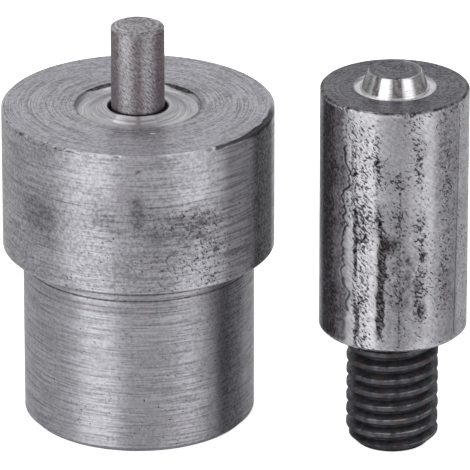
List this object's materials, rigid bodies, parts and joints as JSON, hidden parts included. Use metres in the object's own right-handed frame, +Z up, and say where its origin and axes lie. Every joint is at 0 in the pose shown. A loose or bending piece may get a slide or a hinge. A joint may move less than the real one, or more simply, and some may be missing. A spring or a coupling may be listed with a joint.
{
  "type": "grommet die set",
  "caption": "Turned steel eyelet-closing die set: a stepped lower die with a spring-loaded pilot pin in its seat, and an upper flaring die with a boss, a curling groove and a threaded stud.",
  "frame": {"origin": "centre of the lower die's foot, on the plane that both dies stand on", "axes": "+Z up along the lower die's axis and the pilot pin, +X towards the upper die, which stands a little to the front (-Y)"},
  "size_m": [0.0399, 0.0245, 0.0358],
  "materials": {
    "turned_steel": "as turned, fine lathe rings, handling stains",
    "pin_steel": "rough, dark, peened by tumbling",
    "spring_steel": "drawn spring wire, lightly oiled",
    "plug_steel": "darkened screw steel",
    "scaled_steel": "drawn bar with mill-scale pits and lengthwise scratches",
    "black_oxide_steel": "black oxide, worn on the thread's crests"
  },
  "bodies": {
    "lower_die": {"lower_die_body": "turned_steel", "base_plug": "plug_steel", "pin_spring": "spring_steel"},
    "pin": {"pilot_pin": "pin_steel"},
    "upper_die": {"upper_die_body": "scaled_steel", "threaded_stud": "black_oxide_steel"}
  },
  "joints": [
    {"name": "pin_press", "type": "slide", "parent": "lower_die", "child": "pin", "axis": [0, 0, -1], "range_m": [0, 0.0089], "stiffness_N_per_m": 1650, "springref_m": -0.002, "deforming": ["pin_spring"]},
    {"name": "upper_die_lift", "type": "slide", "parent": "lower_die", "child": "upper_die", "axis": [0, 0, 1], "range_m": [0, 0.045]}
  ]
}
